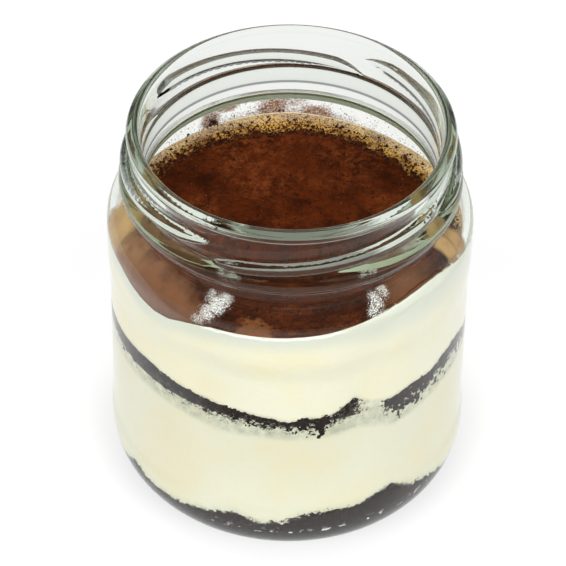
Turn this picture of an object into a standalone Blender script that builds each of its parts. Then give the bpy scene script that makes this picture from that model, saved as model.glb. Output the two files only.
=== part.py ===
"""Tiramisu in a twist-off glass jar: the jar, and the five layers that fill it to its shoulder.

Metres, +Z up, -Y towards the front. The origin is the centre of the jar's base, on the table.
An angle round the jar is 0 at the front and grows anticlockwise, seen from above.
"""

import math
import random

import bmesh
import bpy
from mathutils import Vector, noise

# The glass, outside
JAR_HEIGHT = 0.0816
BAND_RADIUS = 0.0350
HEEL_BAND_RADIUS = 0.03486
PANEL_RADIUS = 0.03455
FOOT_INNER_RADIUS = 0.0262
FOOT_OUTER_RADIUS = 0.0280
PUSH_UP = 0.0015
HEEL_BAND_TOP = 0.0125
PANEL_LOW = 0.0145
PANEL_HIGH = 0.0485
BAND_LOW = 0.0510
SHOULDER_START = 0.0592
SHOULDER_CURVE = 0.0054
NECK_RADIUS = 0.0305
NECK_FOOT = 0.0658
NECK_FOOT_RADIUS = 0.0307
BEAD_RADIUS = 0.0324
BEAD_BOTTOM = 0.0683
BEAD_TOP = 0.0720
BEAD_FACE = (0.0694, 0.0707)
LIP_ROLL = 0.00127
LIP_UNDERCUT = -50

# The glass, inside
WALL = 0.0018
MOUTH_RADIUS = 0.0284
BORE_FOOT = 0.0668
BORE_FLARE = 0.0006
BORE_FLARE_HEIGHT = 0.0022
FLOOR_HEIGHT = 0.0037
FLOOR_CROWN = 0.0006
INNER_HEEL = 0.0047

# The four lugs that a twist-off cap catches on
LUGS = 4
LUG_START = -26.5
LUG_ARC = 87.5
LUG_LOW = 0.0725
LUG_HIGH = 0.0765
LUG_RADIUS = 0.0323
LUG_HALF = 0.00150
LUG_TIP_SHARE = 0.30
LUG_TAPER = 0.11
LUG_ROUNDING = 0.0003
LUG_ROOT = 0.0296
LUG_STATIONS = 14

# The filling: levels at the middle of the jar
GAP = 0.0003
BASE_CRUMB_LEVEL = 0.0090
WALL_IS_STRAIGHT = 0.0165
MIDDLE_LEVEL = 0.0368
MIDDLE_THICKNESS = 0.0046
MIDDLE_LEAN = 0.0008
TOP_LEVEL = 0.0573
HIGHEST_FILLING = 0.0625
TOP_LEAN = 0.0014
COCOA_THICKNESS = 0.0009
COCOA_BEVEL = 0.0002
RING_RISE = 0.0008
RING_RUN = 0.006

# Lumps of a layer at the glass: (angle in degrees, height, half-width in degrees)
BASE_LUMPS = ((-48, -0.0012, 10), (-17, 0.0015, 6), (13, 0.0022, 10), (35, 0.0042, 8), (55, 0.0014, 10),
              (92, -0.0010, 9), (128, 0.0020, 11), (171, 0.0028, 8), (-142, 0.0022, 12), (-98, -0.0010, 10))
MIDDLE_TOP_LUMPS = ((-54, 0.0010, 16), (1, -0.0019, 9), (21.5, 0.0028, 5), (36, -0.0012, 7),
                    (112, 0.0014, 10), (160, -0.0010, 9), (-118, 0.0012, 9), (-165, 0.0020, 7))
MIDDLE_BOTTOM_LUMPS = ((9, -0.0022, 5), (23, 0.0016, 5), (38, -0.0028, 6), (54, -0.0017, 10),
                       (96, -0.0016, 8), (139, 0.0012, 7), (-93, -0.0010, 9), (-149, -0.0018, 8))
TOP_LUMPS = ((0, 0.0009, 60), (50, 0.0029, 30), (-47, -0.0028, 14))

# Unevenness of a surface: (height, width of one swell)
BASE_SWELLS = ((0.0009, 0.006), (0.0005, 0.0028))
MIDDLE_SWELLS = ((0.0004, 0.003),)
COCOA_SWELLS = ((0.0003, 0.009),)
POWDER_SWELLS = ((0.0002, 0.0035),)

# Cream left bare round the cocoa: (angle in degrees, width of the bare ring there)
BARE_RING = ((-180, 0.0050), (-155, 0.0058), (-125, 0.0038), (-90, 0.0032), (-56, 0.0),
             (56, 0.0), (75, 0.0028), (110, 0.0048), (138, 0.0062), (160, 0.0053), (180, 0.0050))
RING_SHOWS = 0.0008

# Crumbs of cocoa that lie on the dusting
CRUMBS = 24
CRUMB_RADIUS = (0.0005, 0.0009)
CRUMB_KNOBS = (0.75, 1.1)
CRUMB_FLATNESS = 0.8
CRUMB_PROUD = 0.2
CRUMB_MARGIN = 0.0022
CRUMB_SEED = 11
GOLDEN_TURN = 0.618034

# How finely round shapes are cut
JAR_SIDES = 56
FILLING_SIDES = 64
LEVELS_ACROSS = (0.0, 0.45, 0.78, 0.94, 1.0)
COCOA_ACROSS = (0.0, 0.16, 0.32, 0.48, 0.63, 0.78, 0.91, 1.0)
COCOA_BED_ACROSS = (0.0, 0.35, 0.7, 1.0)
SHARP_ANGLE = 40.0

# Colours
GLASS_COLOUR = (0.86, 0.93, 0.88)
CREAM_COLOUR = (0.86, 0.79, 0.58)
CRUMB_COLOUR = (0.030, 0.018, 0.013)
COCOA_COLOUR = (0.105, 0.032, 0.014)


def arc(centre_r, centre_z, radius, start, end, steps):
    """Points (r, z) on a circle from one angle to another, in degrees from the +r direction."""
    angles = [math.radians(start + (end - start) * i / steps) for i in range(steps + 1)]
    return [(centre_r + radius * math.cos(a), centre_z + radius * math.sin(a)) for a in angles]


def outside_of_jar():
    """The glass from the middle of its base, round the heel and up to the top of the lip."""
    heel = HEEL_BAND_RADIUS - FOOT_OUTER_RADIUS
    shoulder_r = BAND_RADIUS - SHOULDER_CURVE
    return [
        (0.0, PUSH_UP),
        (0.7 * FOOT_INNER_RADIUS, 0.8 * PUSH_UP),
        (FOOT_INNER_RADIUS, 0.0),
        (FOOT_OUTER_RADIUS, 0.0),
        *arc(FOOT_OUTER_RADIUS, heel, heel, -72, 0, 4),
        (HEEL_BAND_RADIUS, HEEL_BAND_TOP),
        (PANEL_RADIUS, PANEL_LOW),
        (PANEL_RADIUS, PANEL_HIGH),
        (BAND_RADIUS, BAND_LOW),
        *arc(shoulder_r, SHOULDER_START, SHOULDER_CURVE, 0, 72, 4),
        (NECK_FOOT_RADIUS, NECK_FOOT),
        (NECK_RADIUS, BEAD_BOTTOM),
        *((BEAD_RADIUS, z) for z in BEAD_FACE),
        (NECK_RADIUS, BEAD_TOP),
        *arc(MOUTH_RADIUS + LIP_ROLL, JAR_HEIGHT - LIP_ROLL, LIP_ROLL, LIP_UNDERCUT, 90, 4),
    ]


def inside_of_jar():
    """The glass from the top of the lip down the bore, round the shoulder and to the floor's middle."""
    shoulder_r = BAND_RADIUS - SHOULDER_CURVE
    heel_r = PANEL_RADIUS - WALL - INNER_HEEL
    return [
        *arc(MOUTH_RADIUS + LIP_ROLL, JAR_HEIGHT - LIP_ROLL, LIP_ROLL, 120, 180, 2),
        (MOUTH_RADIUS, BORE_FOOT),
        (MOUTH_RADIUS + BORE_FLARE, BORE_FOOT - BORE_FLARE_HEIGHT),
        *arc(shoulder_r, SHOULDER_START, SHOULDER_CURVE - WALL, 74, 0, 4),
        (BAND_RADIUS - WALL, BAND_LOW),
        (PANEL_RADIUS - WALL, PANEL_HIGH),
        *arc(heel_r, FLOOR_HEIGHT + INNER_HEEL, INNER_HEEL, 0, -90, 4),
        (0.0, FLOOR_HEIGHT + FLOOR_CROWN),
    ]


def filling_radius(z):
    """How far out the filling reaches at a height: to a gap short of the inside of the glass."""
    wall = sorted((z_at, r) for r, z_at in inside_of_jar() if z_at <= HIGHEST_FILLING)
    for (low_z, low_r), (high_z, high_r) in zip(wall, wall[1:]):
        if low_z <= z <= high_z and high_z > low_z:
            share = (z - low_z) / (high_z - low_z)
            return low_r + share * (high_r - low_r) - GAP
    return wall[-1][1] - GAP


def split_quad(mesh, low, high, next_high, next_low):
    """Two triangles, split from the inner corner here to the outer corner further round.

    Layers that share a surface are then split alike, and keep their gap everywhere.
    """
    if low.co.xy.length < high.co.xy.length:
        mesh.faces.new((low, next_low, next_high))
        mesh.faces.new((low, next_high, high))
    else:
        mesh.faces.new((low, next_low, high))
        mesh.faces.new((high, next_low, next_high))


def turned(name, outline_at, sides=FILLING_SIDES):
    """A closed mesh whose half outline at each angle runs from the axis, round the outside, and back."""
    mesh = bmesh.new()
    rows = []
    for i in range(sides):
        angle = 2 * math.pi * i / sides
        points = outline_at(angle)
        row = [
            mesh.verts.new((r * math.sin(angle), -r * math.cos(angle), z))
            for r, z in points[1:-1]
        ]
        rows.append(row)
    first = mesh.verts.new((0.0, 0.0, points[0][1]))
    last = mesh.verts.new((0.0, 0.0, points[-1][1]))
    for i, row in enumerate(rows):
        after = rows[(i + 1) % sides]
        mesh.faces.new((first, after[0], row[0]))
        mesh.faces.new((last, row[-1], after[-1]))
        for k in range(len(row) - 1):
            split_quad(mesh, row[k], row[k + 1], after[k + 1], after[k])
    return finished(name, mesh)


def smooth(data):
    """Shades round faces smooth and keeps the sharp edges sharp."""
    data.shade_smooth()
    data.set_sharp_from_angle(angle=math.radians(SHARP_ANGLE))


def finished(name, mesh):
    """Turns a bmesh into an object in the scene, with its normals out and its round faces smooth."""
    bmesh.ops.recalc_face_normals(mesh, faces=mesh.faces)
    data = bpy.data.meshes.new(name)
    mesh.to_mesh(data)
    mesh.free()
    smooth(data)
    made = bpy.data.objects.new(name, data)
    bpy.context.scene.collection.objects.link(made)
    return made


def paint(target, colour, roughness, glassy=0.0):
    """Gives an object its own plain material."""
    material = bpy.data.materials.new(target.name)
    material.use_nodes = True
    shader = material.node_tree.nodes["Principled BSDF"]
    shader.inputs["Base Color"].default_value = (*colour, 1.0)
    shader.inputs["Roughness"].default_value = roughness
    shader.inputs["Metallic"].default_value = 0.0
    shader.inputs["Transmission Weight"].default_value = glassy
    target.data.materials.clear()
    target.data.materials.append(material)


def join_on(target, pieces):
    """Fuses loose pieces onto a solid with one Boolean union, then removes them."""
    extras = bpy.data.collections.new(target.name + "_extras")
    bpy.context.scene.collection.children.link(extras)
    for piece in pieces:
        bpy.context.scene.collection.objects.unlink(piece)
        extras.objects.link(piece)
    union = target.modifiers.new("union", "BOOLEAN")
    union.operation = "UNION"
    union.operand_type = "COLLECTION"
    union.collection = extras
    graph = bpy.context.evaluated_depsgraph_get()
    fused = bpy.data.meshes.new_from_object(target.evaluated_get(graph))
    target.modifiers.clear()
    smooth(fused)
    target.data = fused
    for piece in pieces:
        bpy.data.objects.remove(piece)
    bpy.data.collections.remove(extras)


def smooth_step(share):
    share = min(max(share, 0.0), 1.0)
    return share * share * (3 - 2 * share)


def turn_between(angle, other):
    """The angle from one direction to another in degrees, between -180 and 180."""
    return (angle - other + 180.0) % 360.0 - 180.0


def lumps_at(lumps, angle):
    degrees = math.degrees(angle)
    return sum(
        height * math.exp(-((turn_between(degrees, place) / half_width) ** 2))
        for place, height, half_width in lumps
    )


def swell(swells, r, angle, seed):
    """Gentle, repeatable unevenness of a surface."""
    place = Vector((r * math.sin(angle), -r * math.cos(angle), 0.0))
    shift = Vector((0.0, 0.0, 17.3 * seed))
    return sum(height * noise.noise(place / width + shift) for height, width in swells)


def base_crumb_top(r, angle):
    out = (r / PANEL_RADIUS) ** 2
    return BASE_CRUMB_LEVEL + out * lumps_at(BASE_LUMPS, angle) + swell(BASE_SWELLS, r, angle, 1)


def base_crumb_edge(angle):
    """How far out the top of the bottom crumb layer reaches."""
    return filling_radius(base_crumb_top(filling_radius(BASE_CRUMB_LEVEL), angle))


def middle_centre(r, angle):
    return MIDDLE_LEVEL - MIDDLE_LEAN * math.sin(angle) * r / PANEL_RADIUS


def middle_crumb_bottom(r, angle):
    out = (r / PANEL_RADIUS) ** 3
    low = middle_centre(r, angle) - MIDDLE_THICKNESS / 2
    return low + out * lumps_at(MIDDLE_BOTTOM_LUMPS, angle) + swell(MIDDLE_SWELLS, r, angle, 3)


def middle_crumb_top(r, angle):
    out = (r / PANEL_RADIUS) ** 3
    high = middle_centre(r, angle) + MIDDLE_THICKNESS / 2
    return high + out * lumps_at(MIDDLE_TOP_LUMPS, angle) + swell(MIDDLE_SWELLS, r, angle, 4)


def cocoa_bottom_height(r, angle):
    """The bed of the dusting: higher at the front, where it also climbs and dips along the glass."""
    share = r / (BAND_RADIUS - WALL)
    lean = TOP_LEAN * math.cos(angle) * share + share ** 3 * lumps_at(TOP_LUMPS, angle)
    return TOP_LEVEL - COCOA_THICKNESS + lean + swell(COCOA_SWELLS, r, angle, 5)


def cocoa_top_height(r, angle):
    return cocoa_bottom_height(r, angle) + COCOA_THICKNESS + swell(POWDER_SWELLS, r, angle, 6)


def bare_ring_width(angle):
    """How much cream shows between the cocoa and the glass."""
    degrees = turn_between(math.degrees(angle), 0.0)
    for (low, low_width), (high, high_width) in zip(BARE_RING, BARE_RING[1:]):
        if low <= degrees <= high:
            share = smooth_step((degrees - low) / (high - low))
            return low_width + (high_width - low_width) * share
    return BARE_RING[-1][1]


def cocoa_edge(angle):
    brim = cocoa_top_height(filling_radius(BAND_LOW), angle)
    return filling_radius(brim) - bare_ring_width(angle)


def across(surface, angle, edge, shares, lift=0.0):
    """Points (r, z) on a surface, or a lift above it, from the axis to its edge."""
    return [(edge * share, surface(edge * share, angle) + lift) for share in shares]


def make_jar():
    outline = outside_of_jar() + inside_of_jar()
    jar = turned("jar", lambda angle: outline, JAR_SIDES)
    join_on(jar, [make_lug(number) for number in range(LUGS)])
    paint(jar, GLASS_COLOUR, 0.02, glassy=1.0)


def lug_section(size):
    """The outline (r, height above the lug's middle) of a lug whose size is 0 at its tip and 1 in full."""
    sunk = NECK_RADIUS - LUG_ROUNDING
    outer = sunk + (LUG_RADIUS - sunk) * size
    half = LUG_HALF * (LUG_TIP_SHARE + (1 - LUG_TIP_SHARE) * size)
    below = [
        (LUG_ROOT, -half),
        (sunk, -half),
        (outer - LUG_ROUNDING, -0.62 * half),
        (outer, -0.2 * half),
    ]
    return below + [(r, -z) for r, z in reversed(below)]


def make_lug(number):
    """One thread lug: it climbs to the right seen from outside, and dies into the neck at both ends."""
    mesh = bmesh.new()
    rows = []
    for i in range(LUG_STATIONS + 1):
        along = i / LUG_STATIONS
        angle = math.radians(LUG_START + number * 360.0 / LUGS + along * LUG_ARC)
        middle = LUG_LOW + (LUG_HIGH - LUG_LOW) * along
        section = lug_section(smooth_step(min(along, 1 - along) / LUG_TAPER))
        row = [
            mesh.verts.new((r * math.sin(angle), -r * math.cos(angle), middle + z))
            for r, z in section
        ]
        rows.append(row)
    for row, after in zip(rows, rows[1:]):
        for k in range(len(row)):
            beside = (k + 1) % len(row)
            mesh.faces.new((row[k], after[k], after[beside], row[beside]))
    mesh.faces.new(rows[0])
    mesh.faces.new(rows[-1])
    return finished(f"lug_{number + 1}", mesh)


def make_crumb_base():
    """Chocolate crumb on the floor of the jar, pressed into the heel."""
    heel_r = PANEL_RADIUS - WALL - INNER_HEEL
    floor = [(0.0, FLOOR_HEIGHT + FLOOR_CROWN + GAP), (0.96 * heel_r, FLOOR_HEIGHT + GAP)]
    heel = arc(heel_r, FLOOR_HEIGHT + INNER_HEEL, INNER_HEEL - GAP, -66, -22, 2)

    def outline(angle):
        edge = base_crumb_edge(angle)
        brim = base_crumb_top(edge, angle) - GAP
        side = [(min(r, edge), min(z, brim)) for r, z in heel]
        return floor + side + across(base_crumb_top, angle, edge, LEVELS_ACROSS)[::-1]

    made = turned("crumb_base", outline)
    paint(made, CRUMB_COLOUR, 0.85)


def make_cream_lower():
    edge = filling_radius(MIDDLE_LEVEL)

    def outline(angle):
        low = across(base_crumb_top, angle, base_crumb_edge(angle), LEVELS_ACROSS, GAP)
        high = across(middle_crumb_bottom, angle, edge, LEVELS_ACROSS, -GAP)
        return low + [(edge, WALL_IS_STRAIGHT)] + high[::-1]

    made = turned("cream_lower", outline)
    paint(made, CREAM_COLOUR, 0.45)


def make_crumb_middle():
    edge = filling_radius(MIDDLE_LEVEL)

    def outline(angle):
        low = across(middle_crumb_bottom, angle, edge, LEVELS_ACROSS)
        high = across(middle_crumb_top, angle, edge, LEVELS_ACROSS)
        return low + high[::-1]

    made = turned("crumb_middle", outline)
    paint(made, CRUMB_COLOUR, 0.85)


def make_cream_upper():
    """The thicker cream: its top is a tray for the cocoa, with a bare ring that climbs the glass."""
    low_edge = filling_radius(MIDDLE_LEVEL)

    def outline(angle):
        brim = cocoa_top_height(filling_radius(BAND_LOW), angle)
        edge = filling_radius(brim)
        bend = min(SHOULDER_START, brim - 2 * COCOA_THICKNESS)
        side = [(filling_radius(z), z) for z in (PANEL_HIGH, BAND_LOW, bend)]
        tray = min(cocoa_edge(angle) + GAP, edge - 3 * GAP)
        lip = tray + GAP
        shows = smooth_step((bare_ring_width(angle) - RING_SHOWS) / RING_SHOWS)

        def ring_top(r):
            bed = cocoa_bottom_height(r, angle) - GAP
            proud = cocoa_top_height(r, angle) + RING_RISE * ((r - tray) / RING_RUN) ** 2
            return bed + shows * (proud - bed)

        low = across(middle_crumb_top, angle, low_edge, LEVELS_ACROSS, GAP)
        ring = [(r, ring_top(r)) for r in (edge, (edge + lip) / 2, lip)]
        bed = across(cocoa_bottom_height, angle, tray, COCOA_BED_ACROSS, -GAP)
        return low + side + ring + bed[::-1]

    made = turned("cream_upper", outline)
    paint(made, CREAM_COLOUR, 0.45)


def make_cocoa_top():
    """The cocoa dusting: a thin cake of powder, with coarser crumbs fused to it."""

    def outline(angle):
        edge = cocoa_edge(angle)
        low = across(cocoa_bottom_height, angle, edge, COCOA_BED_ACROSS)
        high = across(cocoa_top_height, angle, edge - COCOA_BEVEL, COCOA_ACROSS)
        return low + high[::-1]

    made = turned("cocoa_top", outline)
    draw = random.Random(CRUMB_SEED)
    crumbs = []
    for number in range(CRUMBS):
        angle = 2 * math.pi * (number * GOLDEN_TURN % 1.0)
        r = (cocoa_edge(angle) - CRUMB_MARGIN) * math.sqrt(draw.uniform(0.12, 1.0))
        crumbs.append(make_crumb(number, r, angle, draw))
    join_on(made, crumbs)
    paint(made, COCOA_COLOUR, 0.9)


def make_crumb(number, r, angle, draw):
    """A small knobbly crumb, sunk nearly to its middle in the powder."""
    size = draw.uniform(*CRUMB_RADIUS)
    mesh = bmesh.new()
    bmesh.ops.create_icosphere(mesh, subdivisions=1, radius=size)
    for vert in mesh.verts:
        vert.co *= draw.uniform(*CRUMB_KNOBS)
        vert.co.z *= CRUMB_FLATNESS
    height = cocoa_top_height(r, angle) + CRUMB_PROUD * size
    middle = Vector((r * math.sin(angle), -r * math.cos(angle), height))
    bmesh.ops.translate(mesh, verts=mesh.verts, vec=middle)
    return finished(f"crumb_{number + 1}", mesh)


def main():
    for old in list(bpy.data.objects):
        bpy.data.objects.remove(old)
    make_jar()
    make_crumb_base()
    make_cream_lower()
    make_crumb_middle()
    make_cream_upper()
    make_cocoa_top()


main()
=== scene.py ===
"""Tiramisu in a glass jar: the finish of the jar and of the layers that fill it.

Metres, +Z up, -Y towards the front. An angle round the jar is 0 at the front and grows
anticlockwise, seen from above, in degrees.
"""

import math
import random

import bpy
import numpy as np
from mathutils import Euler, Matrix, Vector, noise


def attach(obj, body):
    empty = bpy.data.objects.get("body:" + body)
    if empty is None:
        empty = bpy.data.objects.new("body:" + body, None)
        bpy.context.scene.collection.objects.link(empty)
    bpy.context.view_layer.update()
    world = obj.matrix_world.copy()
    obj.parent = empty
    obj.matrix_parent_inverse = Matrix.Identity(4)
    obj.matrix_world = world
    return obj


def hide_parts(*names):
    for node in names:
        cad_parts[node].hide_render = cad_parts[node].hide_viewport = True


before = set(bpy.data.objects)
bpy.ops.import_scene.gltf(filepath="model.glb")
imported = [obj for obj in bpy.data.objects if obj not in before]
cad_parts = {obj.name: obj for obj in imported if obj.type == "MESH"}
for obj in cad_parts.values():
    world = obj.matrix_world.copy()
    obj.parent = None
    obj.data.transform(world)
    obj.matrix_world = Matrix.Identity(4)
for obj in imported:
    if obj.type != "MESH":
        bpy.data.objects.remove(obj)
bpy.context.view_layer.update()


# The jar: blown soda-lime glass with a faint green tint, one piece from its pushed-up base to its
# rolled lip. Four raised lugs on the neck take a twist-off cap, a bead runs round under them, and
# the two halves of the mould left a fine seam up the front and the back.
JAR_HEIGHT = 0.0816
FOOT_INNER, FOOT_OUTER, PUSH_UP, HEEL_HEIGHT = 0.0258, 0.0272, 0.0015, 0.0105
HEEL_BAND_RADIUS, HEEL_BAND_EASE = 0.03486, (0.0118, 0.0150)
PANEL_RADIUS = 0.03455
BAND_RADIUS, BAND_EASE = 0.03494, (0.0465, 0.0525)
SHOULDER_START, SHOULDER_CURVE = 0.0592, 0.0054
NECK_RADIUS, NECK_FILLET = 0.0304, 0.0007
NECK_EASE = (SHOULDER_START + 0.5 * SHOULDER_CURVE, 0.0640)
BEAD_AT, BEAD_ROUND = (0.0301, 0.0696), 0.0024
LUG_START, LUG_ARC, LUG_TIP, LUG_TIP_SINKS = -26.5, 87.5, 10.0, 0.4
LUG_LOW, LUG_HIGH, LUG_REACH, LUG_ROUND = 0.0723, 0.0760, 0.0311, 0.0011
RIDGE_BURIED, RIDGE_FILLET = 0.0002, 0.00045
PARTING_HEIGHT, PARTING_HALF, PARTING_PROUD = 0.0653, 0.00030, 0.00006
WALL, MOUTH_RADIUS = 0.0018, 0.02855
WAIST_RADIUS, WAIST_HEIGHT, BORE_FOOT, BORE_STARTS = 0.0280, 0.0750, 0.0668, 0.06266
LIP_INSIDE, LIP_OUTSIDE, LIP_SLOPE, LIP_TURN = 0.00083, 0.00092, 0.00088, math.radians(53.7)
LIP_IN_AT = (MOUTH_RADIUS + LIP_INSIDE, JAR_HEIGHT - LIP_INSIDE)
LIP_SHRINKS = LIP_INSIDE - LIP_OUTSIDE
LIP_OUT_AT = (
    LIP_IN_AT[0] + LIP_SHRINKS * math.cos(LIP_TURN) + LIP_SLOPE * math.sin(LIP_TURN),
    LIP_IN_AT[1] + LIP_SHRINKS * math.sin(LIP_TURN) - LIP_SLOPE * math.cos(LIP_TURN),
)
LIP_FILLET = 0.00028
FLOOR_HEIGHT, FLOOR_CROWN, INNER_HEEL = 0.0037, 0.0006, 0.0047
PANEL_INSIDE = PANEL_RADIUS - WALL
INNER_HEEL_AT = (PANEL_INSIDE - INNER_HEEL, FLOOR_HEIGHT + INNER_HEEL)
BEAD_BELOW, LUGS_BELOW, LUGS_ABOVE, BORE_BENDS, LIP_JOINS = 0.0660, 0.0714, 0.0774, 0.0680, 0.0004
SEAMS, SEAM_PROUD, SEAM_HALF, SEAM_FADES = (-1.0, 179.0), 0.00006, 0.35, (0.0690, 0.0710)
GLASS_BENDS, GLASS_TINT, GLASS_DEPTH = 1.51, (0.60, 0.68, 0.56, 1.0), 100.0
LAMP_THROUGH_GLASS = (0.97, 0.99, 0.975, 1.0)
RIPPLE_SIZE, RIPPLE_HEIGHT = 0.0060, 0.000014


def ease(value, low, high):
    """0 below low, 1 above high, and a smooth climb between."""
    share = min(max((value - low) / (high - low), 0.0), 1.0)
    return share * share * (3 - 2 * share)


def turn_between(angle, other):
    """The turn from one direction to another, between -180 and 180 degrees."""
    return (angle - other + 180.0) % 360.0 - 180.0


def fillet(first, second, width):
    """The larger of two radii, with the corner between them rounded."""
    return (first + second + math.hypot(first - second, width)) / 2


def shoulder(z, curve):
    """A quarter circle that starts at the straight side and closes towards the neck."""
    rise = min(max(z - SHOULDER_START, 0.0), curve)
    return BAND_RADIUS - SHOULDER_CURVE + math.sqrt(curve ** 2 - rise ** 2)


def half_round(z, reach, middle, rounding):
    """The radius of a ridge that stands out of the neck like half a rod."""
    off = abs(z - middle)
    return reach + math.sqrt(rounding ** 2 - off ** 2) if off < rounding else 0.0


def lug_at(angle, z):
    """The radius of the lug here, or 0. A lug climbs to the right and thins out at both tips."""
    along = ((angle - LUG_START) % 90.0) / LUG_ARC
    if along >= 1 or along <= 0:
        return 0.0
    size = min(min(along, 1 - along) * LUG_ARC / LUG_TIP, 1.0) ** 0.5
    middle = LUG_LOW + (LUG_HIGH - LUG_LOW) * along
    return half_round(z, LUG_REACH - LUG_TIP_SINKS * LUG_ROUND * (1 - size), middle, LUG_ROUND * size)


def outer_radius(angle, z):
    """The outside of the glass, from the heel to the start of the lip."""
    body = PANEL_RADIUS
    body += (HEEL_BAND_RADIUS - PANEL_RADIUS) * (1 - ease(z, *HEEL_BAND_EASE))
    body += (BAND_RADIUS - PANEL_RADIUS) * ease(z, *BAND_EASE)
    if z > SHOULDER_START:
        body = shoulder(z, SHOULDER_CURVE)
    if z > NECK_EASE[0]:
        body = fillet(body, NECK_RADIUS, NECK_FILLET * ease(z, *NECK_EASE))
    ridge = max(half_round(z, *BEAD_AT, BEAD_ROUND), lug_at(angle, z))
    if ridge > NECK_RADIUS - RIDGE_BURIED:
        body = fillet(body, ridge, RIDGE_FILLET)
    parting = PARTING_PROUD * (1 - ease(abs(z - PARTING_HEIGHT), 0.0, PARTING_HALF))
    seam = sum(SEAM_PROUD * (1 - ease(abs(turn_between(angle, at)), 0.0, SEAM_HALF)) for at in SEAMS)
    seam *= 1 - ease(z, *SEAM_FADES)
    made = body + parting + seam
    below = max(LIP_OUT_AT[1] - z, 0.0)
    if below < LIP_OUTSIDE:
        made = fillet(made, LIP_OUT_AT[0] + math.sqrt(LIP_OUTSIDE ** 2 - below ** 2), LIP_FILLET)
    return made


def floor_height(r):
    """The inside of the base, a little higher in the middle."""
    return FLOOR_HEIGHT + FLOOR_CROWN * (1 - (r / INNER_HEEL_AT[0]) ** 2)


def inner_radius(z):
    """The inside of the glass, from the floor to the mouth."""
    if z < INNER_HEEL_AT[1]:
        drop = min(INNER_HEEL_AT[1] - z, INNER_HEEL)
        return INNER_HEEL_AT[0] + math.sqrt(INNER_HEEL ** 2 - drop ** 2)
    if z < SHOULDER_START:
        return PANEL_INSIDE + (BAND_RADIUS - PANEL_RADIUS) * ease(z, *BAND_EASE)
    if z < BORE_STARTS:
        return shoulder(z, SHOULDER_CURVE - WALL)
    climbed = min((z - BORE_STARTS) / (BORE_FOOT - BORE_STARTS), 1.0)
    flare = (shoulder(BORE_STARTS, SHOULDER_CURVE - WALL) - WAIST_RADIUS) * (1 - climbed) ** 4
    opening = min(max((z - WAIST_HEIGHT) / (LIP_IN_AT[1] - WAIST_HEIGHT), 0.0), 1.0)
    return WAIST_RADIUS + flare + (MOUTH_RADIUS - WAIST_RADIUS) * opening


def add_mesh(name, points, faces, material):
    """A piece of these points and faces, all of one material."""
    mesh = bpy.data.meshes.new(name)
    mesh.from_pydata(points, [], faces)
    mesh.materials.append(material)
    made = bpy.data.objects.new(name, mesh)
    bpy.context.scene.collection.objects.link(made)
    return made


def set_mark(piece, kind, values):
    """A number for each point, which the material reads by its name."""
    marks = piece.data.attributes.new(kind, "FLOAT", "POINT")
    marks.data.foreach_set("value", np.asarray(values, dtype=np.float32).reshape(-1))


def surface(name, rows, columns, material, **marks):
    """A closed turned mesh: rows of (r, z) for each column angle, with a point on the axis at each end.

    Each mark holds a number for each row and column.
    """
    rows = np.array(rows)
    count, around = rows.shape[:2]
    turn = np.radians(columns)[None, :]
    points = np.stack([
        rows[:, :, 0] * np.sin(turn), -rows[:, :, 0] * np.cos(turn), rows[:, :, 1],
    ], axis=2).reshape(-1, 3)
    ends = [(0.0, 0.0, rows[0, :, 1].mean()), (0.0, 0.0, rows[-1, :, 1].mean())]
    points = np.vstack([points, ends])
    here = np.arange(around)
    after = (here + 1) % around
    faces = []
    for row in range(count - 1):
        low, high = row * around, (row + 1) * around
        faces += np.stack([low + here, low + after, high + after, high + here], axis=1).tolist()
    first, last = count * around, count * around + 1
    faces += [[first, b, a] for a, b in zip(here.tolist(), after.tolist())]
    top = (count - 1) * around
    faces += [[last, top + a, top + b] for a, b in zip(here.tolist(), after.tolist())]
    made = add_mesh(name, points.tolist(), faces, material)
    made.data.shade_smooth()
    for kind, values in marks.items():
        values = np.array(values)
        set_mark(made, kind, np.append(values.reshape(-1), [values[0].mean(), values[-1].mean()]))
    return made


def steps(*spans):
    """Evenly spaced values over spans of (start, end, count), without repeats."""
    inner = [np.linspace(start, end, count, endpoint=False) for start, end, count in spans]
    return np.concatenate(inner + [[spans[-1][1]]])


def arc(centre_r, centre_z, radius, start, end, count):
    """Points of an arc in the (r, z) section, between two turns in degrees."""
    turn = np.radians(np.linspace(start, end, count))
    return [(centre_r + radius * math.cos(a), centre_z + radius * math.sin(a)) for a in turn]


def new_finish(name):
    """A new material, its tree and its main shader."""
    material = bpy.data.materials.new(name)
    material.use_nodes = True
    return material, material.node_tree, material.node_tree.nodes["Principled BSDF"]


def link_in(tree, target, socket, source):
    """Feed one node's output into a socket of another node."""
    tree.links.new(source, target.inputs[socket])


def place(tree):
    """Points of the piece itself, in metres."""
    found = next((n for n in tree.nodes if n.bl_idname == "ShaderNodeTexCoord"), None)
    return (found or tree.nodes.new("ShaderNodeTexCoord")).outputs["Object"]


def clouds(tree, size, detail=3.0, rough=0.55):
    """Noise with swells of about this size in metres, from 0 to 1."""
    made = tree.nodes.new("ShaderNodeTexNoise")
    made.inputs["Scale"].default_value = 1.0 / size
    made.inputs["Detail"].default_value = detail
    made.inputs["Roughness"].default_value = rough
    link_in(tree, made, "Vector", place(tree))
    return made.outputs["Fac"]


def stretch(tree, value, low, high):
    """A value spread so that low becomes 0 and high becomes 1."""
    made = tree.nodes.new("ShaderNodeMapRange")
    made.inputs["From Min"].default_value = low
    made.inputs["From Max"].default_value = high
    link_in(tree, made, "Value", value)
    return made.outputs["Result"]


def blend(tree, share, first, second):
    """A colour between two, each a colour or another node's output."""
    made = tree.nodes.new("ShaderNodeMix")
    made.data_type = "RGBA"
    link_in(tree, made, "Factor", share)
    for socket, colour in ((6, first), (7, second)):
        if isinstance(colour, tuple):
            made.inputs[socket].default_value = colour
        else:
            link_in(tree, made, socket, colour)
    return made.outputs[2]


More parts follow.
